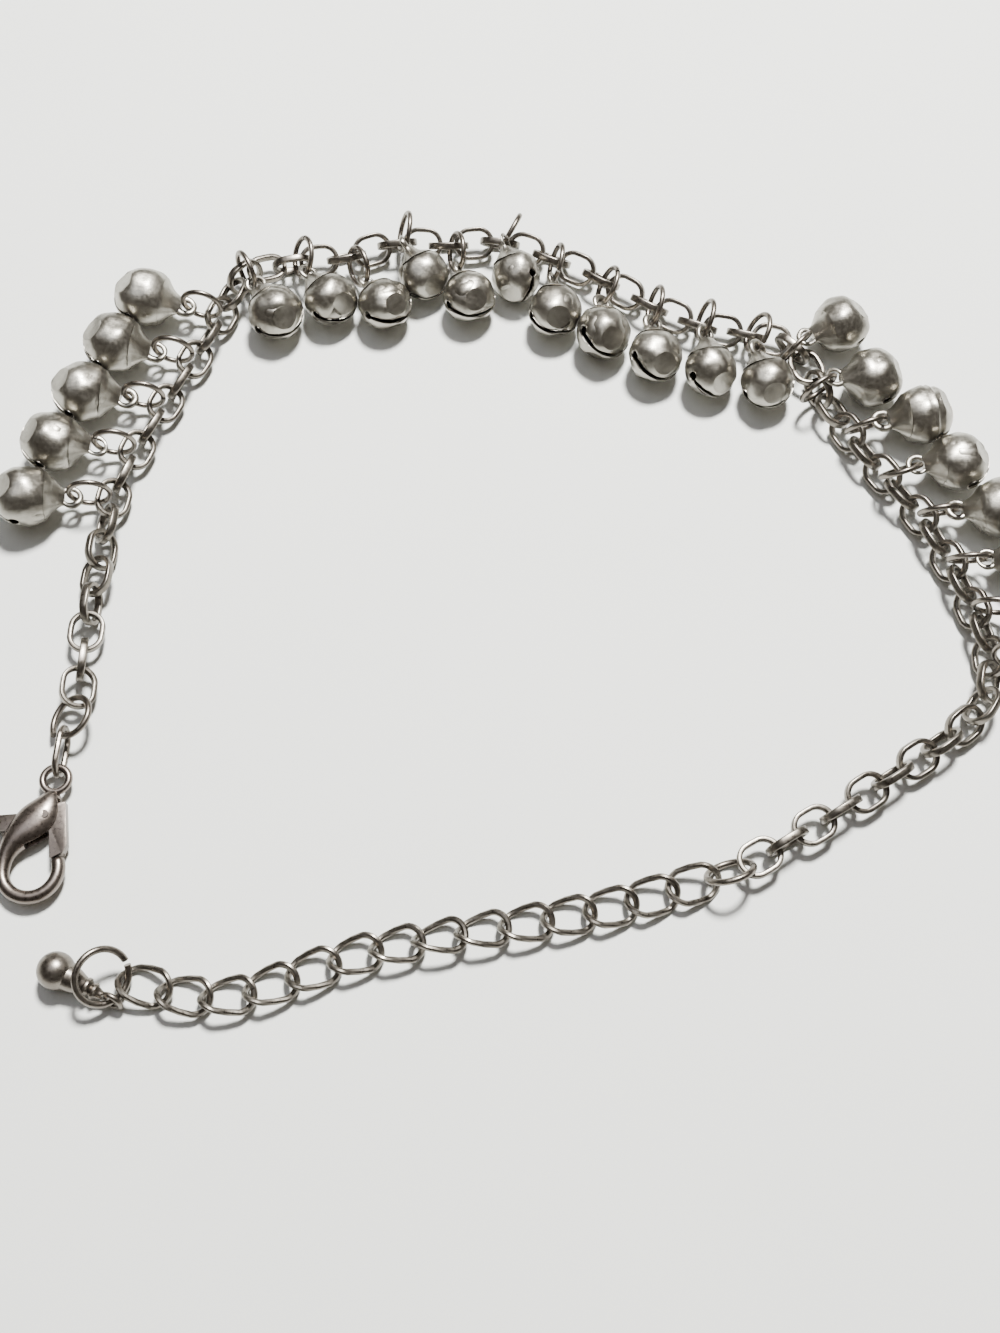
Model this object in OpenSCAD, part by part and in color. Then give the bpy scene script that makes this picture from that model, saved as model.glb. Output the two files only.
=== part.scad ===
/* [Chain] */
// Outer length of a chain link
link_length = 4.15; // [4.1:0.05:4.25]
// Outer width of a chain link
link_width = 3.3; // [3.2:0.05:3.4]
// Thickness of the link's band, seen face-on
band_thick = 0.45; // [0.4:0.05:0.45]
// Width of the link's band, seen edge-on
band_width = 0.7; // [0.6:0.05:0.7]

/* [Bells] */
// Diameter of the nominal bell in the plane of its slit
bell_d = 6.0; // [5.8:0.1:6.1]
// Width of the nominal bell across its slit
bell_across = 5.6; // [5.3:0.1:5.8]
// Thickness of the bell's wall
bell_wall = 0.3; // [0.25:0.05:0.4]
// Width of the slit
slit_gap = 0.45; // [0.3:0.05:0.6]
// Diameter of the round hole at each end of the slit
slit_hole_d = 1.0; // [0.7:0.1:1.2]
// Wire diameter of the bell's loop
loop_wire = 0.46; // [0.4:0.02:0.5]
// Diameter of the ball inside each bell
pellet_d = 1.6; // [1.2:0.1:2.0]

/* [Jump rings] */
// Outer diameter of the ring that carries a bell
ring_d = 4.3; // [4.2:0.05:4.4]
// Wire diameter of that ring
ring_wire = 0.46; // [0.4:0.02:0.48]

/* [Clasp] */
// Thickness of the clasp's shell
clasp_thick = 2.5; // [2.4:0.1:2.8]
// Thickness of the hook's round rod
hook_rod = 1.2; // [1.0:0.1:1.3]
// Thickness of the lever's plate
lever_thick = 0.9; // [0.7:0.05:0.9]
// Diameter of the pivot pin
pin_d = 0.7; // [0.5:0.05:0.8]

/* [Extender] */
// Outer length of an extender link
curb_length = 5.05; // [5.0:0.05:5.15]
// Outer width of an extender link
curb_width = 3.6; // [3.5:0.05:3.7]
// Wire diameter of an extender link
curb_wire = 0.58; // [0.5:0.02:0.6]
// Twist of an extender link from end to end, in degrees
curb_twist = 80; // [70:5:90]

/* [Free end] */
// Outer diameter of the large open ring
end_ring_d = 5.2; // [5.0:0.1:5.3]
// Diameter of the drop's ball
drop_d = 3.2; // [3.0:0.1:3.3]

/* [Hidden] */
$fn = 48;
BELL_COUNT = 24;
LINK_COUNT = 65;
CURB_COUNT = 14;
// Index of the first chain link that carries a bell; every second link after it carries one too
FIRST_HOST = 7;
// Index of the first link of the right-hand half of the chain
HALF = 33;

function bell_name(i) = str("bell_", i < 9 ? "0" : "", i + 1);

// The chain as it lies: link number, x, y, and how far the chain has rolled about its own line there
ROUTE = [
    [0, -41.3, -11.36, 119],
    [2, -41.2, -5.86, 94],
    [4, -40.9, -0.16, 65],
    [7, -40.2, 8.14, 30],
    [9, -38.5, 13.54, 30],
    [11, -36.2, 18.84, 30],
    [13, -33.8, 24.04, 30],
    [15, -31.5, 29.34, 45],
    [17, -29.5, 34.14, 74],
    [19, -24.75, 35.74, 105],
    [21, -19.25, 36.64, 134],
    [23, -14.1, 38.34, 125],
    [25, -8.8, 38.14, 130],
    [27, -3.5, 38.44, 122],
    [29, 1.8, 36.44, 132],
    [31, 6.8, 33.84, 132],
    [33, 11.6, 30.64, 128],
    [35, 16.3, 28.14, 125],
    [37, 21.2, 26.94, 125],
    [39, 25.6, 25.29, 104],
    [41, 27.8, 20.49, 75],
    [43, 30.2, 15.54, 50],
    [45, 33.1, 10.84, 45],
    [47, 36.1, 6.34, 45],
    [49, 38.3, 1.44, 45],
    [51, 39.9, -3.46, 45],
    [53, 40.8, -8.36, 45],
    [55, 39.5, -13.16, 50],
    [57, 35.5, -16.66, 60],
    [59, 30.8, -19.76, 70],
    [61, 26, -22.86, 80],
    [64, 18.7, -27.16, 90],
];

// One row for each bell: x, y, diameter, tilt of its loop above level, turn of its loop about the bell's own axis,
// lean of its ring along the chain, how far from the middle of its link the ring passes, and turn of its slit
// past its loop
BELLS = [
    [-48.1, 7.64, 6.0, -10, 0, 0, 0.5, 0],
    [-46.3, 13.64, 6.0, -10, 0, 0, 0.5, 0],
    [-44, 19.34, 6.0, -10, 0, 0, 0.5, 0],
    [-41.6, 25.04, 6.0, -10, 0, 0, 0.5, 0],
    [-39.1, 30.64, 6.0, -10, 0, 0, 0.5, 0],
    [-25.9, 28.94, 5.6, 5, 0, 8, -0.8, 0],
    [-20.5, 30.64, 5.4, 10, 30, 30, 0.5, -22],
    [-15, 30.04, 5.3, -5, 30, 20, 0.5, -15],
    [-11.2, 33.74, 5.2, 20, 60, 20, 0.5, -60],
    [-6.6, 30.94, 5.3, -5, 60, 20, 0.5, -50],
    [-1.9, 33.54, 5.3, 20, 60, 20, 0.5, -120],
    [2, 29.14, 5.4, 0, 60, 20, 0.3, -50],
    [6.8, 26.44, 5.5, -5, 30, 30, 0.5, 0],
    [11.8, 23.74, 5.5, 0, 30, 20, 0, 0],
    [17.2, 22.04, 5.4, 15, 30, 20, 0, 0],
    [22.6, 20.64, 5.3, 10, 30, 30, 0, -30],
    [30.4, 27.44, 5.6, 0, 0, 15, 0.5, 0],
    [33, 21.04, 5.8, 10, 0, 10, 0.5, 0],
    [37.3, 16.74, 5.8, 0, 0, 20, 0.5, 0],
    [40.1, 11.44, 5.8, 0, 0, 30, 0.5, 0],
    [43.4, 6.44, 5.8, -5, 0, 20, 0.5, 0],
    [45.5, 0.84, 5.8, -5, 0, 20, 0.5, 0],
    [47.3, -4.86, 5.8, -5, 0, 10, 0.3, 0],
    [48.2, -10.76, 5.8, -10, 15, -10, 0.5, 0],
];

// The extender as it lies: link number, x, y
EXTENDER = [
    [0, 13, -29.36],
    [2, 5.9, -31.36],
    [4, -1.3, -32.76],
    [6, -8.6, -33.96],
    [8, -15.6, -35.46],
    [10, -22.5, -37.96],
    [11, -26, -38.86],
    [12, -29.6, -38.76],
    [13, -32.96, -37.93],
];

// Smooth curve through a table's rows, looked up by link number, the first column
STEPS = 6;
function row(t, i) = t[min(max(i, 0), len(t) - 1)];
function blend(a, b, c, d, u) =
    (2 * b + (c - a) * u + (2 * a - 5 * b + 4 * c - d) * u * u + (3 * b - a - 3 * c + d) * u * u * u) / 2;
function sampled(t) = concat(
    [for (i = [0:len(t) - 2]) for (k = [0:STEPS - 1])
        blend(row(t, i - 1), t[i], t[i + 1], row(t, i + 2), k / STEPS)],
    [t[len(t) - 1]]);
function columns(t) = let (p = sampled(t)) [for (k = [1:len(t[0]) - 1]) [for (v = p) [v[0], v[k]]]];
function along(c, n) = [for (k = [0:len(c) - 1]) lookup(n, c[k])];

CHAIN = columns(ROUTE);
CURB = columns(EXTENDER);
// Height of the chain's middle line: an edge-on link just clears what the anklet lies on
chain_z = norm([link_width, band_width]) / 2 + 0.01;
function at(c, n, z) = let (v = along(c, n)) [v.x, v.y, z];
function ahead(c, n) = unit(at(c, n + 0.2, 0) - at(c, n - 0.2, 0));
function unit(v) = v / norm(v);
function flat(v) = [v.x, v.y, 0];

// A bell's measures, places and directions
function bell_k(b) = b[2] / bell_d;
LOOP_AT = 4.1;
LOOP_R = 1.0;
function host_link(i) = FIRST_HOST + 2 * i;
function host(i) = at(CHAIN, host_link(i), chain_z);
function loop_low(b) = ((LOOP_AT + LOOP_R * abs(cos(b[4]))) * sin(-b[3]) + loop_wire / 2) * bell_k(b);
function bell_at(b) = [b.x, b.y, max(b[2] / 2, loop_low(b)) + 0.02];
function heading(i) = let (d = host(i) - bell_at(BELLS[i])) atan2(d.y, d.x);
function bell_axis(i) = let (h = heading(i), e = BELLS[i][3]) [cos(e) * cos(h), cos(e) * sin(h), sin(e)];

// A bell's ring passes through the bell's loop and through the hole of the bell's link
LOOP_PLAY = 0.1;
ring_r = (ring_d - ring_wire) / 2;
function ring_from(i) = bell_at(BELLS[i]) + (LOOP_AT * bell_k(BELLS[i]) + LOOP_PLAY) * bell_axis(i);
function ring_to(i) = host(i) + BELLS[i][6] * unit(flat(bell_at(BELLS[i]) - host(i)));
function ring_up(i) = let (u = unit(ring_to(i) - ring_from(i)), lean = BELLS[i][5],
    w = [0, 0, cos(lean)] + sin(lean) * ahead(CHAIN, host_link(i))) unit(w - (w * u) * u);
function ring_centre(i) = let (a = ring_from(i), b = ring_to(i), half = norm(b - a) / 2)
    (a + b) / 2 + ring_up(i) * sqrt(max(0, ring_r * ring_r - half * half));
function ring_normal(i) = cross(unit(ring_to(i) - ring_from(i)), ring_up(i));

module facing(n) {
    rotate([0, acos(n.z / norm(n)), atan2(n.y, n.x)]) children();
}

module on_line(c, n, z, roll) {
    d = ahead(c, n);
    translate(at(c, n, z)) rotate([roll, 0, atan2(d.y, d.x)]) children();
}

module torus(r, wire, turn = 360) {
    rotate_extrude(angle = turn) translate([r, 0]) circle(d = wire);
}

// Oval outline: two round ends joined by straight sides
module oval(long, wide) {
    for (side = [-1, 1]) translate([side * (long - wide) / 2, 0]) circle(d = wide);
    square([long - wide, wide], center = true);
}

module band_link() {
    linear_extrude(band_width, center = true) difference() {
        oval(link_length, link_width);
        oval(link_length - 2 * band_thick, link_width - 2 * band_thick);
    }
}

module chain_links(first, last) {
    for (i = [first:last])
        on_line(CHAIN, i, chain_z, along(CHAIN, i)[2] + 90 * (i - FIRST_HOST)) band_link();
}

module chain_left() {
    color("silver") chain_links(0, HALF - 1);
}

module chain_right() {
    color("silver") chain_links(HALF, LINK_COUNT - 1);
}

// Angles and distance of the bell's facets and of its slit's ends, from the middle of the slit
FACET_TURN = 42;
FACET_AT = 2.62;
SLIT_REACH = 72;

// The bell's rounded form, wider in its loop's plane than across it, with its facets beside the slit
module bell_form(inset, slit) {
    r = bell_d / 2 - inset;
    half = bell_across / 2 - inset;
    off = (r * r / half - half) / 2;
    difference() {
        intersection_for (side = [-1, 1]) translate([0, 0, side * off]) sphere(r = half + off);
        for (side = [-1, 1]) rotate([slit, 0, 0]) rotate([0, side * FACET_TURN, 0])
            translate([-bell_d - FACET_AT + inset, -bell_d, -bell_d]) cube([bell_d, 2 * bell_d, 2 * bell_d]);
    }
}

NECK_SUNK = 0.7;
NECK_LONG = 1.15;
NECK_WIDE = 1.8;
NECK_SLIM = 0.55;

// The bell with its loop towards +X in the XY plane, and its slit turned from that plane
module bell_shell(slit) {
    difference() {
        union() {
            bell_form(0, slit);
            translate([bell_d / 2 - NECK_SUNK, 0, 0]) rotate([0, 90, 0])
                cylinder(h = NECK_LONG, r1 = NECK_WIDE, r2 = NECK_SLIM);
            translate([LOOP_AT, 0, 0]) torus(LOOP_R, loop_wire);
        }
        bell_form(bell_wall, slit);
        rotate([slit, 0, 0]) {
            translate([-bell_d - bell_d / 2 * cos(SLIT_REACH), -bell_d, -slit_gap / 2])
                cube([bell_d, 2 * bell_d, slit_gap]);
            for (side = [-1, 1]) rotate([0, -90, side * SLIT_REACH])
                cylinder(h = bell_d, d = slit_hole_d);
        }
    }
}

module posed(i) {
    b = BELLS[i];
    translate(bell_at(b)) rotate([b[4], -b[3], heading(i)]) scale(bell_k(b)) children();
}

module bell(i) {
    color("gainsboro") posed(i) bell_shell(BELLS[i][7]);
}

module bell_pellets() {
    drop = bell_across / 2 - bell_wall - pellet_d / 2 - 0.25;
    color("dimgray") for (i = [0:BELL_COUNT - 1]) let (b = BELLS[i])
        translate(bell_at(b) - [0, 0, drop * bell_k(b)]) sphere(d = pellet_d * bell_k(b));
}

module bell_rings() {
    color("darkgray") for (i = [0:BELL_COUNT - 1])
        translate(ring_centre(i)) facing(ring_normal(i)) torus(ring_r, ring_wire);
}

// Clasp, with its eye at the origin and its hook towards -Y
CLASP_AT = [-42.40, -19.96, clasp_thick / 2];
EYE_R = 1.15;
EYE_WIRE = 0.6;
SHELL_SHARE = 0.72;
PIVOT = [-0.3, -3.5];
HOOK = [-1.2, -8.2];
HOOK_R = 2.4;
HOOK_ROOT = 2.4;
HOOK_TO = 205;
LEVER_PLAY = 0.1;
LEVER_LAP = 4;
PIN_PLAY = 0.06;
TEARDROP = [
    [-0.8, -0.9], [0.3, -1.1], [0.75, -2.4], [0.7, -4.0], [0.2, -4.9], [-1.7, -5.5],
    [-3.0, -6.3], [-3.0, -6.8], [-4.2, -6.8], [-4.2, -5.6], [-3.7, -4.3], [-2.95, -3.05], [-2.1, -2.0],
];
// What the lever needs between the two plates of the shell
SLOT = [
    [2.0, -1.9], [2.0, -6.9], [-1.9, -6.9], [-2.3, -4.9], [-5.0, -4.9], [-5.0, -1.9],
];
LEVER = [
    [1.2, -2.2], [1.75, -6.0], [1.3, -7.4], [0.4, -7.2], [0.1, -4.8], [-1.6, -4.75],
    [-5.4, -4.75], [-5.6, -4.2], [-5.4, -3.5], [-1.6, -3.2], [-1.0, -2.6],
];

// The hook's round rod: straight down from the shell, then round to the tip
module hook(rod, turn) {
    translate(HOOK) rotate([0, 0, 180]) torus(HOOK_R, rod, turn);
    translate([HOOK.x - HOOK_R, HOOK.y, 0]) rotate([-90, 0, 0]) cylinder(h = HOOK_ROOT, d = rod);
}

module clasp_body() {
    color("silver") translate(CLASP_AT) {
        difference() {
            union() {
                torus(EYE_R, EYE_WIRE);
                linear_extrude(clasp_thick * SHELL_SHARE, center = true) polygon(TEARDROP);
                translate(PIVOT) linear_extrude(clasp_thick, center = true) scale(SHELL_SHARE)
                    translate(-PIVOT) polygon(TEARDROP);
                hook(hook_rod, HOOK_TO);
            }
            linear_extrude(lever_thick + 2 * LEVER_PLAY, center = true) polygon(SLOT);
            cylinder(h = clasp_thick, r = EYE_R - EYE_WIRE / 2, center = true);
        }
        translate(PIVOT) cylinder(h = clasp_thick - 0.2, d = pin_d, center = true);
    }
}

// The hook's tip laps over the outside of the lever's end, which swings inwards
module clasp_lever() {
    color("silver") translate(CLASP_AT) difference() {
        linear_extrude(lever_thick, center = true) polygon(LEVER);
        translate(PIVOT) cylinder(h = clasp_thick, d = pin_d + 2 * PIN_PLAY, center = true);
        hook(hook_rod + 2 * LEVER_PLAY, HOOK_TO + LEVER_LAP);
    }
}

module oval_ring(long, wide, wire) {
    r = (wide - wire) / 2;
    for (side = [-1, 1]) translate([side * (long - wide) / 2, 0, 0]) rotate([0, 0, -side * 90])
        torus(r, wire, 180);
    for (side = [-1, 1]) translate([0, side * r, 0]) rotate([0, 90, 0])
        cylinder(h = long - wide, d = wire, center = true);
}

// Standing on edge in the clasp's eye
module clasp_ring() {
    color("darkgray") translate([-42.13, -17.49, 1.58]) rotate([90, 0, 86.6]) oval_ring(4.9, 3.1, 0.56);
}

// Bent open: one end flares out past the other
OPEN_R = 1.9;
OPEN_WIRE = 0.6;
OPEN_FROM = 235;
OPEN_TO = 510;
FLARE_R = 2.6;
FLARE_WIRE = 0.56;
FLARE_TURN = 55;
FLARE_SUNK = 2;
module open_ring() {
    color("darkgray") translate([-41.54, -14.27, 1.85]) rotate([-7, 0, 0]) rotate([0, -27.3, 0]) {
        rotate([0, 0, OPEN_FROM]) torus(OPEN_R, OPEN_WIRE, OPEN_TO - OPEN_FROM);
        rotate([0, 0, OPEN_TO]) translate([OPEN_R - FLARE_R, 0, 0]) rotate([0, 0, -FLARE_SUNK])
            torus(FLARE_R, FLARE_WIRE, FLARE_TURN + FLARE_SUNK);
    }
}

module extender_ring() {
    color("darkgray") translate([16.03, -28.53, 1.98]) facing([-0.28, 0.78, 0.57]) torus(2.03, 0.6);
}

// Twisted curb link, swept round its own oval, long axis along X
CURB_STEPS = 20;
CURB_SIDES = 6;
curb_a = (curb_length - curb_wire) / 2;
curb_b = (curb_width - curb_wire) / 2;
function full(v) = sign(v) * pow(abs(v), 0.85);
function curb_point(a) = let (turn = curb_twist / 2 * cos(a), y = curb_b * full(sin(a)))
    [curb_a * full(cos(a)), y * cos(turn), y * sin(turn)];
function curb_ring(a) = let (
    p = curb_point(a),
    t = unit(curb_point(a + 1) - curb_point(a - 1)),
    n = unit(p - (p * t) * t),
    m = cross(t, n))
    [for (k = [0:CURB_SIDES - 1]) let (q = 360 / CURB_SIDES * k)
        p + curb_wire / 2 * (cos(q) * n + sin(q) * m)];
CURB_POINTS = [for (j = [0:CURB_STEPS - 1]) each curb_ring(360 / CURB_STEPS * j)];
CURB_FACES = [for (j = [0:CURB_STEPS - 1]) for (k = [0:CURB_SIDES - 1]) let (
    j2 = (j + 1) % CURB_STEPS,
    k2 = (k + 1) % CURB_SIDES)
    each [[j * CURB_SIDES + k, j2 * CURB_SIDES + k, j2 * CURB_SIDES + k2],
        [j * CURB_SIDES + k, j2 * CURB_SIDES + k2, j * CURB_SIDES + k2]]];

// How far each extender link has rolled about the chain's line, and the height at which it lies
CURB_ROLLS = [-14, -8, 0, 8, 16, 24, 30, 20, 12, 6, 12, 18, 14, 4];
CURB_LOWEST = 1.0;
function curb_height(roll) = max([for (p = CURB_POINTS) p.y * sin(roll) + p.z * cos(roll) + 0.02, CURB_LOWEST]);

module extender_chain() {
    color("silver") for (i = [0:CURB_COUNT - 1])
        on_line(CURB, i, curb_height(CURB_ROLLS[i]), CURB_ROLLS[i]) polyhedron(CURB_POINTS, CURB_FACES);
}

// Lies over the drop, through the last link of the extender and the drop's eyelet
module end_ring() {
    wire = 0.6;
    color("darkgray") translate([-36.22, -37.53, 2.33]) facing([0.57, -0.36, 0.74]) rotate([0, 0, 150])
        torus((end_ring_d - wire) / 2, wire, 335);
}

// Drop: ball, tapered shank, two collars and eyelet, along the line from ball to eyelet
DROP_BALL = [-40.25, -36.86, drop_d / 2 + 0.02];
DROP_EYE = [-35.53, -39.24, 1.11];
EYELET_R = 0.85;
EYELET_WIRE = 0.5;
EYELET_TURN = -16;
module end_drop() {
    d = DROP_EYE - DROP_BALL;
    long = norm(d);
    color("silver") translate(DROP_BALL) facing(d) {
        sphere(d = drop_d);
        cylinder(h = long - EYELET_R, r1 = 1.3, r2 = 0.4);
        for (z = [2.75, 3.45]) translate([0, 0, z]) cylinder(h = 0.4, r = 0.75);
        translate([0, 0, long]) rotate([0, 0, EYELET_TURN]) rotate([90, 0, 0]) torus(EYELET_R, EYELET_WIRE);
    }
}

clasp_body();
clasp_lever();
clasp_ring();
open_ring();
chain_left();
chain_right();
for (i = [0:BELL_COUNT - 1]) bell(i);
bell_pellets();
bell_rings();
extender_ring();
extender_chain();
end_ring();
end_drop();
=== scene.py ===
import math

import bmesh
import bpy
import numpy as np
from mathutils import Matrix, Vector


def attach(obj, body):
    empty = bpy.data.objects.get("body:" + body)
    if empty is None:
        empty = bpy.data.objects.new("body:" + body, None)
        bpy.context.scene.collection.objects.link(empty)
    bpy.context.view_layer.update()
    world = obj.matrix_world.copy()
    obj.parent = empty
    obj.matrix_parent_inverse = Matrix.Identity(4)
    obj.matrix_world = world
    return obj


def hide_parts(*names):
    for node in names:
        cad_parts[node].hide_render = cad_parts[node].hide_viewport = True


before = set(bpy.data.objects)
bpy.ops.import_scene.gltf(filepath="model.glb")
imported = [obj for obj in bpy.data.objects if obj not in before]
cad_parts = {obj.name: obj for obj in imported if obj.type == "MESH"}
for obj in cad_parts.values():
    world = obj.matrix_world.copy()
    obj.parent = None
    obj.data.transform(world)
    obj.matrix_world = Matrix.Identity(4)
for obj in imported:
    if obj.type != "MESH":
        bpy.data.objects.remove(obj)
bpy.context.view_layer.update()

# The oval chain
# Flat strip of plated brass, bent to an oval and closed, each link turned a quarter from the last.
# Its edges are worn round and bright, and painted shade darkens it where the links touch.
LINK_LONG = 4.15
LINK_WIDE = 3.3
STRIP_THICK = 0.45
STRIP_WIDE = 0.7
STRIP_EDGE = 0.11
LINK_STEPS = 32
# One millimetre in the frame's metres
MM = 0.001
# Points nearer than this are one point, in a master's millimetres and in the frame's metres
MASTER_WELD = 0.0005
FRAME_WELD = 0.000002
# A point this near to the middle stays there when an oval is drawn out
STAYS = 0.01
SPECK_MM = 0.35
SCRATCH_MM = 1.1
SCRATCH_RELIEF_MM = 0.02
# Painted shade: this dark colour is mixed in where other surfaces are near, within the given reach, up to the
# given largest share
PAINTED_SHADE = "#4a433c"
PAINTED_SHADE_REACH_MM = 0.8
PAINTED_SHADE_MOST = 0.55


def shade(hex_colour):
    """Linear colour from an sRGB hex value."""
    parts = [int(hex_colour[i:i + 2], 16) / 255 for i in (1, 3, 5)]
    linear = [c / 12.92 if c <= 0.04045 else ((c + 0.055) / 1.055) ** 2.4 for c in parts]
    return (*linear, 1.0)


def add(material, kind, settings=None, **links):
    """A node with its settings, and its inputs set to values or joined to other nodes' outputs.

    An input goes by its name, or by its number as in _6.
    """
    tree = material.node_tree
    node = tree.nodes.new("ShaderNode" + kind)
    for name, value in (settings or {}).items():
        setattr(node, name, value)
    for name, value in links.items():
        socket = node.inputs[int(name[1:])] if name[1:].isdigit() else node.inputs[name.replace("_", " ")]
        if isinstance(value, bpy.types.NodeSocket):
            tree.links.new(value, socket)
        else:
            socket.default_value = value
    return node


def plated(name, bright, dark, smooth, rough, tarnish_mm, scratch_depth):
    """Worn silver-coloured plating: cloudy colour, fine scratches, and painted shade where pieces meet."""
    material = bpy.data.materials.new(name)
    material.use_nodes = True
    shader = material.node_tree.nodes["Principled BSDF"]
    place = add(material, "TexCoord").outputs["Object"]
    cloud = add(material, "TexNoise", Vector=place, Scale=1 / (tarnish_mm * MM), Detail=5.0, Roughness=0.6)
    speck = add(material, "TexNoise", Vector=place, Scale=1 / (SPECK_MM * MM), Detail=4.0, Roughness=0.7)
    cloudy = add(material, "ValToRGB", Fac=cloud.outputs["Fac"])
    cloudy.color_ramp.elements[0].position = 0.34
    cloudy.color_ramp.elements[0].color = shade(dark)
    cloudy.color_ramp.elements[1].position = 0.62
    cloudy.color_ramp.elements[1].color = shade(bright)
    # Painted shade: the colour is darkened where other surfaces are near, in creases and where pieces touch
    near = add(material, "AmbientOcclusion", {"samples": 6, "only_local": False},
               Distance=PAINTED_SHADE_REACH_MM * MM)
    painted_shade_share = add(material, "MapRange", Value=near.outputs["AO"], From_Min=0.15, From_Max=0.75,
                 To_Min=PAINTED_SHADE_MOST, To_Max=0.0)
    colour = add(material, "Mix", {"data_type": "RGBA"}, _0=painted_shade_share.outputs["Result"],
                 _6=cloudy.outputs["Color"], _7=shade(PAINTED_SHADE))
    material.node_tree.links.new(colour.outputs[2], shader.inputs["Base Color"])
    shader.inputs["Metallic"].default_value = 1.0
    gloss = add(material, "MapRange", Value=speck.outputs["Fac"], From_Min=0.35, From_Max=0.7, To_Min=smooth,
                To_Max=rough)
    material.node_tree.links.new(gloss.outputs["Result"], shader.inputs["Roughness"])
    turned = add(material, "Mapping", Vector=place, Rotation=(0.4, 0.9, 0.6), Scale=(1.0, 9.0, 1.0))
    lines = add(material, "TexNoise", Vector=turned.outputs["Vector"], Scale=1 / (SCRATCH_MM * MM),
                Detail=6.0, Roughness=0.75)
    relief = add(material, "Math", {"operation": "ADD"}, _0=lines.outputs["Fac"], _1=speck.outputs["Fac"])
    bump = add(material, "Bump", Strength=scratch_depth, Distance=SCRATCH_RELIEF_MM * MM,
               Height=relief.outputs["Value"])
    material.node_tree.links.new(bump.outputs["Normal"], shader.inputs["Normal"])
    return material


def alone(piece):
    """Selects one piece and nothing else."""
    if bpy.context.mode != "OBJECT":
        bpy.ops.object.mode_set(mode="OBJECT")
    bpy.ops.object.select_all(action="DESELECT")
    piece.select_set(True)
    bpy.context.view_layer.objects.active = piece


def pick(piece, test):
    """In edit mode, selects the points that pass the test."""
    bpy.ops.mesh.select_mode(type="VERT")
    bpy.ops.mesh.select_all(action="DESELECT")
    mesh = bmesh.from_edit_mesh(piece.data)
    for point in mesh.verts:
        if test(point.co):
            point.select_set(True)
    mesh.select_flush_mode()
    bmesh.update_edit_mesh(piece.data)


def modify(piece, kind, **settings):
    """Adds a modifier and applies it."""
    alone(piece)
    modifier = piece.modifiers.new(kind.title(), kind)
    for name, value in settings.items():
        setattr(modifier, name, value)
    bpy.ops.object.modifier_apply(modifier=modifier.name)


def rounded(piece, degrees=35):
    """Smooth shading that keeps the crisp edges."""
    alone(piece)
    bpy.ops.object.shade_smooth_by_angle(angle=math.radians(degrees))


def settle(piece):
    """Merges doubles and points every face outwards."""
    alone(piece)
    bpy.ops.object.mode_set(mode="EDIT")
    bpy.ops.mesh.select_all(action="SELECT")
    bpy.ops.mesh.remove_doubles(threshold=MASTER_WELD)
    bpy.ops.mesh.normals_make_consistent(inside=False)
    bpy.ops.object.mode_set(mode="OBJECT")


def solids_of(node):
    """The points and triangles of each loose solid of a node of the frame, in millimetres."""
    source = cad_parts[node]
    copy = source.copy()
    copy.data = source.data.copy()
    bpy.context.scene.collection.objects.link(copy)
    copy.parent = None
    alone(copy)
    bpy.ops.object.mode_set(mode="EDIT")
    bpy.ops.mesh.select_all(action="SELECT")
    bpy.ops.mesh.remove_doubles(threshold=FRAME_WELD)
    bpy.ops.mesh.separate(type="LOOSE")
    bpy.ops.object.mode_set(mode="OBJECT")
    found = []
    for part in list(bpy.context.selected_objects):
        points = np.array([v.co for v in part.data.vertices]) / MM
        part.data.calc_loop_triangles()
        triangles = np.array([t.vertices for t in part.data.loop_triangles])
        found.append((points, triangles))
        bpy.data.objects.remove(part)
    return found


def lie_of(solid):
    """How a solid lies: its middle, and its three axes from longest to shortest."""
    points, triangles = solid
    corners = points[triangles]
    area = np.linalg.norm(np.cross(corners[:, 1] - corners[:, 0], corners[:, 2] - corners[:, 0]), axis=1)
    middles = corners.mean(axis=1)
    middle = (middles * area[:, None]).sum(axis=0) / area.sum()
    spread = ((middles - middle) * area[:, None]).T @ (middles - middle)
    axes = np.linalg.eigh(spread)[1].T[::-1]
    axes[2] = np.cross(axes[0], axes[1])
    along = (points - middle) @ axes.T
    low, high = along.min(axis=0), along.max(axis=0)
    return middle + (low + high) / 2 @ axes, axes


def placing(middle, axes, size=1.0):
    """The matrix that takes a master in millimetres to its place in the frame."""
    turn = Matrix([axes[0], axes[1], axes[2]]).transposed().to_4x4()
    return Matrix.Translation(Vector(middle) * MM) @ turn @ Matrix.Scale(size * MM, 4)


def places_of(node):
    """The place of each loose solid of a node of the frame."""
    return [placing(*lie_of(solid)) for solid in solids_of(node)]


def copies(master, name, matrices):
    """One piece made of copies of a master, one for each matrix."""
    made = []
    for matrix in matrices:
        copy = master.copy()
        copy.data = master.data.copy()
        bpy.context.scene.collection.objects.link(copy)
        copy.data.transform(matrix)
        made.append(copy)
    alone(made[0])
    for copy in made:
        copy.select_set(True)
    if len(made) > 1:
        bpy.ops.object.join()
    made[0].name = name
    return made[0]


def finish_piece(piece, node, material, body="anklet"):
    """Gives a piece its material and its body, and hides the node of the frame that it stands for."""
    piece.data.materials.clear()
    piece.data.materials.append(material)
    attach(piece, body)
    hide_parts(node)


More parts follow.
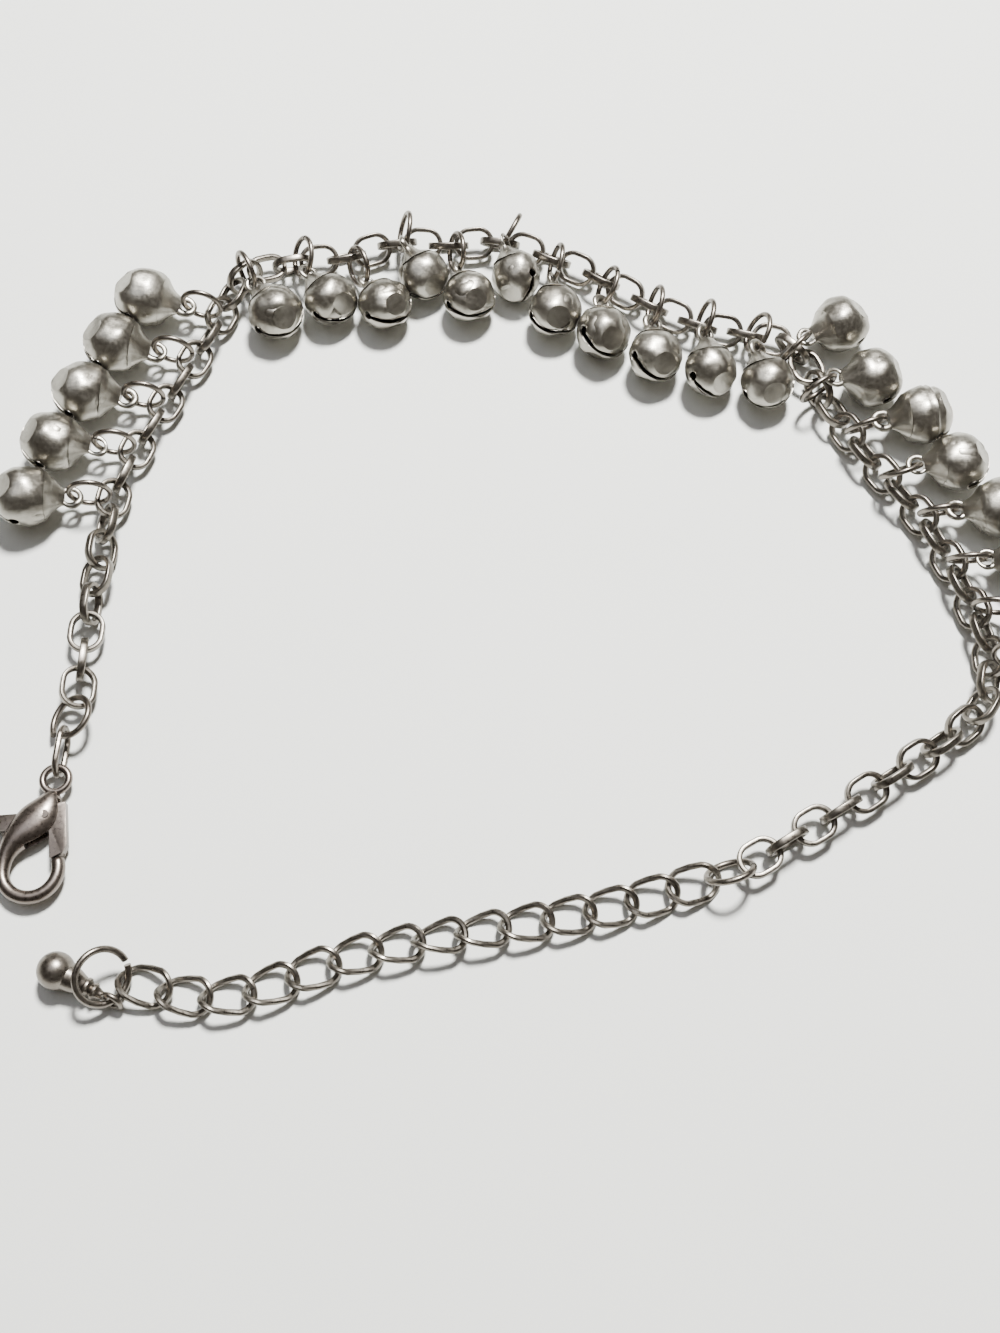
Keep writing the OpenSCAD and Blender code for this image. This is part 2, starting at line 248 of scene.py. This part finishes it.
def oval_link():
    """A round band drawn out to an oval, given its thickness and its worn edges."""
    bpy.ops.mesh.primitive_cylinder_add(vertices=LINK_STEPS, radius=(LINK_WIDE - STRIP_THICK) / 2,
                                        depth=STRIP_WIDE, end_fill_type="NOTHING")
    link = bpy.context.object
    half = (LINK_LONG - LINK_WIDE) / 2
    bpy.ops.object.mode_set(mode="EDIT")
    for side in (-1, 1):
        pick(link, lambda p: p.x * side > STAYS and abs(p.x) < LINK_WIDE)
        bpy.ops.transform.translate(value=(side * half, 0, 0))
    bpy.ops.object.mode_set(mode="OBJECT")
    modify(link, "SOLIDIFY", thickness=STRIP_THICK, offset=0)
    modify(link, "BEVEL", width=STRIP_EDGE, segments=2, limit_method="ANGLE")
    rounded(link, 50)
    return link


# A warm mid grey that shines along the worn edges, with painted shade where two links touch
chain_plating = plated("worn_nickel_plated_strip", "#837e77", "#67625b", smooth=0.26, rough=0.44,
                       tarnish_mm=2.5, scratch_depth=0.25)
link_master = oval_link()
for strand_node in ("chain_left", "chain_right"):
    strand = copies(link_master, strand_node + "_links", places_of(strand_node))
    finish_piece(strand, strand_node, chain_plating)

# The jingle bells
# Thin sheet brass pressed to a ball round a loose pellet, with a slit between two punched holes below
# and a drawn neck with a soldered loop above. The satin plating is dented and scratched, with painted shade
# darkening its creases.
BELL_WIDE = 6.0
BELL_ACROSS = 5.6
BELL_WALL = 0.3
SLIT_WIDE = 0.45
SLIT_HOLE = 1.0
SLIT_REACH = math.radians(72)
SLIT_EDGE = 0.07
# The block that cuts the slit, and the rod that punches each of its holes
SLIT_BLOCK_DEEP = 4
SLIT_BLOCK_WIDE = 8
PUNCH_AT = 2.9
PUNCH_LONG = 3
FACET_TURN = math.radians(42)
FACET_AT = 2.62
FACET_EDGE = 0.4
LOOP_AT = 4.1
LOOP_OUT = 1.23
LOOP_HOLE = 0.56
LOOP_THICK = 0.54
LOOP_TIP = LOOP_AT + LOOP_OUT
# How far from either end a bell's width tells the loop's end from the ball's
END_ZONE = 0.8
# How far each bell's slit is turned past its loop, where it doesn't lie in the loop's plane
SLIT_TURNS = {"bell_07": -22, "bell_08": -15, "bell_09": -60, "bell_10": -50, "bell_11": -120, "bell_12": -50,
              "bell_16": -30}
# Two grooves are pressed round one bell
RIDGED = ("bell_19",)
RIDGES = (-0.35, -1.05)
RIDGE_HALF = 0.16
RIDGE_SQUEEZE = 0.95
DENT_WIDE = 0.0021
DENT_DEEP = 0.0005
# Up the drawn neck: distance from the bell's middle, and half its width in the loop's plane and across it
NECK = [
    (1.8, 2.44, 2.3),
    (1.95, 2.36, 2.2),
    (2.3, 1.98, 1.8),
    (2.7, 1.55, 1.3),
    (3.05, 1.24, 0.92),
    (3.35, 1.08, 0.64),
    (3.6, 1.02, 0.42),
]
bell_names = [node for node in sorted(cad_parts) if node.startswith("bell_") and node[-1].isdigit()]


def cut_away(piece, cutter):
    """Cuts one piece out of another and takes the cutter away."""
    modify(piece, "BOOLEAN", operation="DIFFERENCE", object=cutter, solver="EXACT")
    bpy.data.objects.remove(cutter)


def merged(pieces, name):
    """Makes several pieces one piece, without joining their surfaces."""
    alone(pieces[0])
    for piece in pieces:
        piece.select_set(True)
    bpy.ops.object.join()
    pieces[0].name = name
    return pieces[0]


def bell_ball():
    """The pressed shell, a little flat across, with a facet on either side of its mouth."""
    bpy.ops.mesh.primitive_uv_sphere_add(segments=48, ring_count=28, radius=BELL_WIDE / 2,
                                         rotation=(0, math.pi / 2, 0))
    ball = bpy.context.object
    bpy.ops.object.transform_apply(location=False, rotation=True, scale=False)
    bpy.ops.object.mode_set(mode="EDIT")
    bpy.ops.mesh.select_all(action="SELECT")
    bpy.ops.transform.resize(value=(1, 1, BELL_ACROSS / BELL_WIDE))
    for side in (-1, 1):
        bpy.ops.mesh.select_all(action="SELECT")
        out = (-math.cos(FACET_TURN), 0, side * math.sin(FACET_TURN))
        bpy.ops.mesh.bisect(plane_co=tuple(FACET_AT * c for c in out), plane_no=out, use_fill=True,
                            clear_outer=True)
    bpy.ops.object.mode_set(mode="OBJECT")
    settle(ball)
    modify(ball, "BEVEL", width=FACET_EDGE, segments=4, limit_method="ANGLE", angle_limit=math.radians(16))
    modify(ball, "SOLIDIFY", thickness=BELL_WALL, offset=-1)
    return ball


def slit_cutter():
    """The slit's block with a rod at either end of it."""
    mouth = -BELL_WIDE / 2 * math.cos(SLIT_REACH)
    bpy.ops.mesh.primitive_cube_add(size=1, location=(mouth - SLIT_BLOCK_DEEP / 2, 0, 0))
    slit = bpy.context.object
    slit.scale = (SLIT_BLOCK_DEEP, SLIT_BLOCK_WIDE, SLIT_WIDE)
    parts = [slit]
    for side in (-1, 1):
        turn = math.pi - side * SLIT_REACH
        out = Vector((math.cos(turn), math.sin(turn), 0))
        bpy.ops.mesh.primitive_cylinder_add(vertices=24, radius=SLIT_HOLE / 2, depth=PUNCH_LONG,
                                            location=out * PUNCH_AT)
        hole = bpy.context.object
        hole.rotation_euler = out.to_track_quat("Z", "Y").to_euler()
        parts.append(hole)
    for part in parts:
        alone(part)
        bpy.ops.object.transform_apply(location=True, rotation=True, scale=True)
    for hole in parts[1:]:
        modify(slit, "BOOLEAN", operation="UNION", object=hole, solver="EXACT")
        bpy.data.objects.remove(hole)
    return slit


def bell_neck():
    """The neck, drawn out ring by ring from the shell towards the loop."""
    start, wide, deep = NECK[0]
    bpy.ops.mesh.primitive_circle_add(vertices=32, radius=1, rotation=(0, math.pi / 2, 0), fill_type="NGON")
    neck = bpy.context.object
    bpy.ops.object.transform_apply(location=False, rotation=True, scale=False)
    bpy.ops.object.mode_set(mode="EDIT")
    bpy.ops.mesh.select_all(action="SELECT")
    bpy.ops.transform.resize(value=(1, wide, deep))
    bpy.ops.transform.translate(value=(start, 0, 0))
    for was, now in zip(NECK, NECK[1:]):
        bpy.ops.mesh.extrude_region_move(TRANSFORM_OT_translate={"value": (now[0] - was[0], 0, 0)})
        bpy.ops.transform.resize(value=(1, now[1] / was[1], now[2] / was[2]), center_override=(now[0], 0, 0))
    bpy.ops.object.mode_set(mode="OBJECT")
    return neck


def slit_ball(ridged=False):
    """The shell with its slit. Grooves come after the cut, which fails on a grooved shell."""
    ball = bell_ball()
    cut_away(ball, slit_cutter())
    settle(ball)
    modify(ball, "BEVEL", width=SLIT_EDGE, segments=2, limit_method="ANGLE", angle_limit=math.radians(55))
    bpy.ops.object.mode_set(mode="EDIT")
    for groove in RIDGES if ridged else ():
        pick(ball, lambda p: abs(p.x - groove) < RIDGE_HALF)
        bpy.ops.transform.resize(value=(1, RIDGE_SQUEEZE, RIDGE_SQUEEZE), center_override=(0, 0, 0))
    bpy.ops.object.mode_set(mode="OBJECT")
    return ball


def bell_crown():
    """The neck and the flattened loop that it is drawn out into."""
    bpy.ops.mesh.primitive_torus_add(location=(LOOP_AT, 0, 0), major_radius=(LOOP_OUT + LOOP_HOLE) / 2,
                                     minor_radius=(LOOP_OUT - LOOP_HOLE) / 2, major_segments=36,
                                     minor_segments=12)
    loop = bpy.context.object
    loop.scale = (1, 1, LOOP_THICK / (LOOP_OUT - LOOP_HOLE))
    bpy.ops.object.transform_apply(location=True, rotation=True, scale=True)
    return merged([bell_neck(), loop], "bell_crown")


def bell_lie(node):
    """A bell's middle, its axes towards its loop and across in the loop's plane, and its scale."""
    points, triangles = solids_of(node)[0]
    middle, axes = lie_of((points, triangles))
    far = (points - middle) @ axes[0]
    beside = points - middle - far[:, None] * axes[0]
    reach = np.linalg.norm(beside, axis=1)
    way = 1 if reach[far > far.max() - END_ZONE].max() < reach[far < far.min() + END_ZONE].max() else -1
    far = far * way
    loop = beside[far > far.max() - LOOP_OUT]
    along = axes[0] * way
    across = np.linalg.svd(loop, full_matrices=False)[2][0]
    scale = np.ptp(points @ across) / BELL_WIDE
    return middle + along * (far.max() - LOOP_TIP * scale), [along, across, np.cross(along, across)], scale


# Paler and milkier than the chain, with broad soft highlights that dents and scratches break up
bell_plating = plated("dented_satin_plated_brass", "#a8a59d", "#87837b", smooth=0.28, rough=0.44,
                      tarnish_mm=4.0, scratch_depth=0.5)
dents = bpy.data.textures.new("dents", "CLOUDS")
dents.noise_scale = DENT_WIDE
dents.noise_depth = 1
plain_ball = slit_ball()
ridged_ball = slit_ball(ridged=True)
crown_master = bell_crown()
for node in bell_names:
    place = placing(*bell_lie(node))
    turn = Matrix.Rotation(math.radians(SLIT_TURNS.get(node, 0)), 4, "X")
    ball = copies(ridged_ball if node in RIDGED else plain_ball, "ball", [place @ turn])
    bell = merged([ball, copies(crown_master, "crown", [place])], "jingle_" + node)
    modify(bell, "DISPLACE", texture=dents, texture_coords="LOCAL", strength=DENT_DEEP, mid_level=0.6)
    rounded(bell, 40)
    finish_piece(bell, node, bell_plating)

# Nearly black through the slit, with a dull glint. The pellets are shown as they come in the frame.
pellet_steel = plated("dull_steel_pellet", "#5c5751", "#3d3935", smooth=0.4, rough=0.6,
                      tarnish_mm=1.0, scratch_depth=0.3)
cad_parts["bell_pellets"].data.materials.clear()
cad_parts["bell_pellets"].data.materials.append(pellet_steel)

# The rings that carry the bells
# Jump rings of round plated wire, each bent shut with its two cut ends left side by side.
RING_WIDE = 4.3
RING_WIRE = 0.52
RING_SHUT = math.radians(354)


def wire_ring(wide, wire, turn, steps=44, sides=12, flare=None):
    """A ring of round wire about the origin, bent through the given turn. A flare goes on to a wider bend."""
    bpy.ops.mesh.primitive_circle_add(vertices=sides, radius=wire / 2, fill_type="NGON",
                                      rotation=(math.pi / 2, 0, 0))
    ring = bpy.context.object
    bpy.ops.object.transform_apply(location=False, rotation=True, scale=False)
    bpy.ops.object.mode_set(mode="EDIT")
    bpy.ops.mesh.select_all(action="SELECT")
    bpy.ops.transform.translate(value=((wide - wire) / 2, 0, 0))
    bpy.ops.mesh.spin(steps=steps, angle=turn, center=(0, 0, 0), axis=(0, 0, -1))
    if flare:
        radius, further = flare
        middle = Matrix.Rotation(turn, 3, "Z") @ Vector(((wide - wire) / 2 - radius, 0, 0))
        bpy.ops.mesh.spin(steps=steps // 4, angle=further, center=middle, axis=(0, 0, -1))
    bpy.ops.object.mode_set(mode="OBJECT")
    settle(ring)
    rounded(ring)
    return ring


# The chain's warm grey in smaller patches, with a line of light along each wire
ring_plating = plated("worn_nickel_plated_wire", "#837d76", "#67615a", smooth=0.26, rough=0.44,
                      tarnish_mm=2.0, scratch_depth=0.2)
ring_master = wire_ring(RING_WIDE, RING_WIRE, RING_SHUT)
rings = copies(ring_master, "bell_jump_rings", places_of("bell_rings"))
finish_piece(rings, "bell_rings", ring_plating)

# The extender chain
# Fourteen larger links of round wire, each an oval twisted flat as in a curb chain.
CURB_LONG = 5.05
CURB_WIDE = 3.6
CURB_WIRE = 0.58
CURB_TWIST = math.radians(80)


def oval_wire(long, wide, wire, steps=36, sides=10):
    """A ring of round wire drawn out to an oval along X."""
    bpy.ops.mesh.primitive_torus_add(major_radius=(wide - wire) / 2, minor_radius=wire / 2,
                                     major_segments=steps, minor_segments=sides)
    oval = bpy.context.object
    bpy.ops.object.mode_set(mode="EDIT")
    for side in (-1, 1):
        pick(oval, lambda p: STAYS < p.x * side < wide)
        bpy.ops.transform.translate(value=(side * (long - wide) / 2, 0, 0))
    bpy.ops.object.mode_set(mode="OBJECT")
    rounded(oval)
    return oval


curb_master = oval_wire(CURB_LONG, CURB_WIDE, CURB_WIRE)
modify(curb_master, "SIMPLE_DEFORM", deform_method="TWIST", deform_axis="X", angle=CURB_TWIST)
curb = copies(curb_master, "extender_links", places_of("extender_chain"))
rounded(curb)
finish_piece(curb, "extender_chain", chain_plating)

# The rings at the two ends
# The extender's ring, the large ring that has sprung open at its end, the long oval ring in the clasp's eye
# and the ring beside it, which is bent open so that one end flares past the other. All are plated wire.
EXTENDER_RING_WIDE = 4.66
EXTENDER_RING_WIRE = 0.6
END_RING_WIDE = 5.2
END_RING_WIRE = 0.6
END_RING_AT = (-36.22, -37.53, 2.33)
END_RING_FACES = (0.57, -0.36, 0.74)
END_RING_FROM = math.radians(70)
END_RING_TURN = math.radians(349)
OVAL_RING_LONG = 4.9
OVAL_RING_WIDE = 3.1
OVAL_RING_WIRE = 0.56
OPEN_RING_AT = (-41.54, -14.27, 1.85)
OPEN_RING_TILT = Matrix.Rotation(math.radians(-7), 4, "X") @ Matrix.Rotation(math.radians(-27.3), 4, "Y")
OPEN_R = 1.9
OPEN_WIRE = 0.6
OPEN_FROM = math.radians(235)
OPEN_TO = math.radians(510)
FLARE_R = 2.6
FLARE_TURN = math.radians(55)


def axes_facing(normal, turn):
    """Axes whose third one is the normal. The first starts downhill and is turned about the normal."""
    normal = Vector(normal).normalized()
    heading = Matrix.Rotation(math.atan2(normal.y, normal.x), 4, "Z")
    tip = heading @ Matrix.Rotation(math.acos(normal.z), 4, "Y")
    turned = (tip @ Matrix.Rotation(turn, 4, "Z")).to_3x3()
    return [turned.col[0], turned.col[1], turned.col[2]]


def bent_open_ring():
    """The bent ring with its flared end, turned so that its gap faces the right way."""
    ring = wire_ring(2 * OPEN_R + OPEN_WIRE, OPEN_WIRE, OPEN_TO - OPEN_FROM, flare=(FLARE_R, FLARE_TURN))
    ring.data.transform(Matrix.Rotation(OPEN_FROM, 4, "Z"))
    return ring


def placed(master, name, matrix, node, material, body="anklet"):
    """Puts a piece that comes only once in its place, and takes its master away."""
    piece = copies(master, name, [matrix])
    bpy.data.objects.remove(master)
    finish_piece(piece, node, material, body)


placed(wire_ring(EXTENDER_RING_WIDE, EXTENDER_RING_WIRE, RING_SHUT), "extender_jump_ring",
       places_of("extender_ring")[0], "extender_ring", ring_plating)
placed(wire_ring(END_RING_WIDE, END_RING_WIRE, END_RING_TURN), "large_end_ring",
       placing(END_RING_AT, axes_facing(END_RING_FACES, END_RING_FROM)),
       "end_ring", ring_plating)
placed(oval_wire(OVAL_RING_LONG, OVAL_RING_WIDE, OVAL_RING_WIRE), "oval_jump_ring",
       places_of("clasp_ring")[0], "clasp_ring", ring_plating)
placed(bent_open_ring(), "bent_open_ring",
       Matrix.Translation(Vector(OPEN_RING_AT) * MM) @ OPEN_RING_TILT @ Matrix.Scale(MM, 4),
       "open_ring", ring_plating)

# The drop at the free end
# A small cast drop: a ball, a tapered shank under the large ring, two collars and a turned eyelet.
DROP_BALL = Vector((-40.25, -36.86, 1.62))
DROP_EYE = Vector((-35.53, -39.24, 1.11))
DROP_R = 1.6
EYELET_R = 0.85
EYELET_WIRE = 0.5
EYELET_TURN = math.radians(-16)
DROP_LONG = (DROP_EYE - DROP_BALL).length
# How far the shank stops short of the eyelet's middle
SHANK_STOPS = 0.8
# Distance from the ball's middle, and radius, along the shank
SHANK = [
    (1.1, 1.16),
    (1.4, 1.12),
    (1.9, 1.02),
    (2.7, 0.74),
    (2.74, 0.8),
    (2.86, 0.86),
    (3.04, 0.84),
    (3.14, 0.72),
    (3.3, 0.56),
    (3.46, 0.66),
    (3.58, 0.74),
    (3.76, 0.7),
    (3.86, 0.54),
    (4.2, 0.4),
    (DROP_LONG - SHANK_STOPS, 0.34),
]


def turned_profile(rows, steps=32):
    """A closed solid of revolution about Z with flat ends, from rows of height and radius."""
    bpy.ops.mesh.primitive_circle_add(vertices=steps, radius=rows[0][1], location=(0, 0, rows[0][0]),
                                      fill_type="NGON")
    solid = bpy.context.object
    bpy.ops.object.transform_apply(location=True, rotation=False, scale=False)
    bpy.ops.object.mode_set(mode="EDIT")
    bpy.ops.mesh.select_all(action="SELECT")
    for (low, wide), (high, slim) in zip(rows, rows[1:]):
        bpy.ops.mesh.extrude_region_move(TRANSFORM_OT_translate={"value": (0, 0, high - low)})
        bpy.ops.transform.resize(value=(slim / wide, slim / wide, 1), center_override=(0, 0, high))
    bpy.ops.object.mode_set(mode="OBJECT")
    settle(solid)
    return solid


def ball_drop():
    """The ball, its shank and the eyelet, in a row along Z."""
    bpy.ops.mesh.primitive_uv_sphere_add(segments=40, ring_count=24, radius=DROP_R)
    ball = bpy.context.object
    shank = turned_profile(SHANK)
    bpy.ops.mesh.primitive_torus_add(major_radius=EYELET_R, minor_radius=EYELET_WIRE / 2, major_segments=28,
                                     minor_segments=10, location=(0, 0, DROP_LONG),
                                     rotation=(math.pi / 2, 0, EYELET_TURN))
    eyelet = bpy.context.object
    alone(eyelet)
    bpy.ops.object.transform_apply(location=True, rotation=True, scale=True)
    drop = merged([ball, shank, eyelet], "drop_master")
    rounded(drop, 40)
    return drop


placed(ball_drop(), "ball_drop", placing(DROP_BALL, axes_facing(DROP_EYE - DROP_BALL, 0)), "end_drop",
       ring_plating)

# The lobster clasp
# Cast white metal, plated: a domed teardrop with its eye above and a round hook below, slotted for the lever,
# which turns on a pin, has a thumb tab on the left and closes against the inside of the hook's tip.
CLASP_AT = (-42.4, -19.96, 1.25)
CLASP_EYE_R = 1.15
CLASP_EYE_WIRE = 0.66
HOOK_AT = Vector((-1.2, -8.2, 0))
HOOK_R = 2.4
HOOK_ROD = 1.2
# Where the hook leaves the body and where its tip ends, round the hook's middle in degrees
HOOK_FROM = 186
HOOK_END = 386
HOOK_STEP = 10
SLOT_THICK = 1.1
# Opposite corners of the lever's slot and of the one that lets the thumb tab out on the left
SLOTS = (((-1.9, -6.9), (2.0, -1.9)), ((-5.0, -4.9), (1.9, -2.1)))
CASTING_EDGE = 0.08
PIVOT = (-0.3, -3.5)
PIN_WIDE = 0.7
PIN_LONG = 2.3
LEVER_EDGE = 0.16
# Faces that meet at less than this are one face of the lever
LEVER_FLAT = math.radians(2)
# Down the clasp's body: x, y, heading in degrees, width and thickness
BODY = [
    (-0.05, -1.05, -95, 0.9, 0.9),
    (-0.1, -1.6, -100, 1.7, 1.5),
    (-0.35, -2.4, -110, 2.7, 2.1),
    (-0.75, -3.2, -118, 3.5, 2.45),
    (-1.3, -4.0, -126, 3.75, 2.5),
    (-2.05, -4.75, -130, 3.25, 2.4),
    (-2.8, -5.5, -125, 2.4, 2.1),
    (-3.28, -6.35, -112, 1.75, 1.7),
    (-3.55, -7.3, -98, 1.3, 1.3),
]


def lofted(rows, sides=28):
    """A skin drawn over upright ovals along a line, from rows of x, y, heading, width and thickness."""
    ovals = []
    for x, y, heading, wide, thick in rows:
        bpy.ops.mesh.primitive_circle_add(vertices=sides, radius=0.5, location=(x, y, 0),
                                          rotation=(0, math.pi / 2, math.radians(heading)))
        oval = bpy.context.object
        oval.scale = (thick, wide, 1)
        ovals.append(oval)
    for oval in ovals:
        alone(oval)
        bpy.ops.object.transform_apply(location=True, rotation=True, scale=True)
    skin = merged(ovals, "skin")
    alone(skin)
    bpy.ops.object.mode_set(mode="EDIT")
    bpy.ops.mesh.select_all(action="SELECT")
    bpy.ops.mesh.bridge_edge_loops()
    bpy.ops.mesh.select_all(action="SELECT")
    bpy.ops.mesh.fill_holes(sides=0)
    bpy.ops.object.mode_set(mode="OBJECT")
    settle(skin)
    return skin


def clasp_casting():
    """The body and its hook in one skin, slotted for the lever, with the eye and the pin set in."""
    rows = list(BODY)
    for degrees in range(HOOK_FROM, HOOK_END + 1, HOOK_STEP):
        out = Vector((math.cos(math.radians(degrees)), math.sin(math.radians(degrees)), 0))
        spot = HOOK_AT + HOOK_R * out
        rows.append((spot.x, spot.y, degrees + 90, HOOK_ROD, HOOK_ROD))
    casting = lofted(rows)
    modify(casting, "SUBSURF", levels=1, render_levels=1)
    for low, high in SLOTS:
        middle = ((low[0] + high[0]) / 2, (low[1] + high[1]) / 2, 0)
        bpy.ops.mesh.primitive_cube_add(size=1, location=middle)
        cutter = bpy.context.object
        cutter.scale = (high[0] - low[0], high[1] - low[1], SLOT_THICK)
        bpy.ops.object.transform_apply(location=True, rotation=True, scale=True)
        cut_away(casting, cutter)
    settle(casting)
    modify(casting, "BEVEL", width=CASTING_EDGE, segments=2, limit_method="ANGLE",
           angle_limit=math.radians(50))
    bpy.ops.mesh.primitive_torus_add(major_radius=CLASP_EYE_R, minor_radius=CLASP_EYE_WIRE / 2,
                                     major_segments=36, minor_segments=12)
    eye = bpy.context.object
    bpy.ops.mesh.primitive_cylinder_add(vertices=20, radius=PIN_WIDE / 2, depth=PIN_LONG,
                                        location=(*PIVOT, 0))
    pin = bpy.context.object
    alone(pin)
    bpy.ops.object.transform_apply(location=True, rotation=True, scale=True)
    clasp = merged([casting, eye, pin], "clasp_master")
    rounded(clasp, 40)
    return clasp


def clasp_lever():
    """The lever's own outline from the frame, with its edges rounded over."""
    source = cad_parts["clasp_lever"]
    lever = source.copy()
    lever.data = source.data.copy()
    bpy.context.scene.collection.objects.link(lever)
    lever.parent = None
    for key in list(lever.keys()):
        del lever[key]
    lever.data.transform(Matrix.Scale(1 / MM, 4) @ Matrix.Translation(-Vector(CLASP_AT) * MM))
    settle(lever)
    bpy.ops.object.mode_set(mode="EDIT")
    bpy.ops.mesh.select_all(action="SELECT")
    bpy.ops.mesh.dissolve_limited(angle_limit=LEVER_FLAT)
    bpy.ops.object.mode_set(mode="OBJECT")
    modify(lever, "BEVEL", width=LEVER_EDGE, segments=3, limit_method="ANGLE", angle_limit=math.radians(40))
    rounded(lever, 40)
    return lever


# The smoothest of the greys, in broad patches, so that the domed casting takes long soft highlights
clasp_plating = plated("satin_nickel_plated_casting", "#857c76", "#6b635d", smooth=0.26, rough=0.4,
                       tarnish_mm=3.0, scratch_depth=0.2)
clasp_place = Matrix.Translation(Vector(CLASP_AT) * MM) @ Matrix.Scale(MM, 4)
placed(clasp_casting(), "lobster_clasp_body", clasp_place, "clasp_body", clasp_plating)
placed(clasp_lever(), "lobster_clasp_lever", clasp_place, "clasp_lever", clasp_plating,
       "lever")

for master in (link_master, plain_ball, ridged_ball, crown_master, ring_master, curb_master):
    bpy.data.objects.remove(master)

# The paper, the light and the camera
# A sheet of white paper lit by a window behind it, whose soft shadows fall towards the camera, and by a faint
# light from above and the room's own glow.
EYE = (-3.5, -64.36, 125.3)
LOOKS_DOWN = math.radians(66)
# The lens as it is read from the photo: its focal length and the picture's height, both in pixels
FOCAL_PIXELS = 1500
PICTURE_TALL_PIXELS = 1333
SENSOR = 36
LAMP_FROM = Vector((0.12, 0.42, 0.9)).normalized()
LAMP_AWAY = 0.45
LAMP_WIDE = 0.085
CEILING_FROM = Vector((-0.2, 0.1, 0.95)).normalized()
CEILING_AWAY = 0.7
CEILING_WIDE = 0.5
PAPER_WIDE = 3
PAPER_DOWN = 0.00001
PAPER_CLOUD_MM = 30


def paper():
    bpy.ops.mesh.primitive_plane_add(size=PAPER_WIDE, location=(0, 0, -PAPER_DOWN))
    sheet = bpy.context.object
    sheet.name = "paper"
    # Matt and almost even, a little cooler than the metal that lies on it
    material = bpy.data.materials.new("white_paper")
    material.use_nodes = True
    place = add(material, "TexCoord").outputs["Object"]
    cloud = add(material, "TexNoise", Vector=place, Scale=1 / (PAPER_CLOUD_MM * MM), Detail=2.0)
    ramp = add(material, "ValToRGB", Fac=cloud.outputs["Fac"])
    ramp.color_ramp.elements[0].color = shade("#e4e7e5")
    ramp.color_ramp.elements[1].color = shade("#ebedeb")
    shader = material.node_tree.nodes["Principled BSDF"]
    material.node_tree.links.new(ramp.outputs["Color"], shader.inputs["Base Color"])
    shader.inputs["Roughness"].default_value = 0.9
    sheet.data.materials.append(material)


def lamp(name, towards, away, wide, power, colour):
    """A round lamp that shines at the origin from the given side."""
    data = bpy.data.lights.new(name, "AREA")
    data.shape = "DISK"
    data.size = wide
    data.energy = power
    data.color = shade(colour)[:3]
    light = bpy.data.objects.new(name, data)
    bpy.context.scene.collection.objects.link(light)
    light.location = towards * away
    light.rotation_euler = towards.to_track_quat("Z", "Y").to_euler()


def room(colour, strength):
    """The even glow of the room, which the metal mirrors."""
    world = bpy.data.worlds.new("room")
    world.use_nodes = True
    world.node_tree.nodes["Background"].inputs["Color"].default_value = shade(colour)
    world.node_tree.nodes["Background"].inputs["Strength"].default_value = strength
    bpy.context.scene.world = world


paper()
lamp("window", LAMP_FROM, LAMP_AWAY, LAMP_WIDE, power=7.6, colour="#fffdf8")
lamp("ceiling", CEILING_FROM, CEILING_AWAY, CEILING_WIDE, power=0.9, colour="#f4f7ff")
room("#958b80", strength=0.34)
eye = bpy.data.cameras.new("eye")
eye.lens = FOCAL_PIXELS / PICTURE_TALL_PIXELS * SENSOR
eye.sensor_width = SENSOR
eye.clip_start = 0.01
camera = bpy.data.objects.new("eye", eye)
camera.location = Vector(EYE) * MM
camera.rotation_euler = (math.pi / 2 - LOOKS_DOWN, 0, 0)
bpy.context.scene.collection.objects.link(camera)
bpy.context.scene.camera = camera
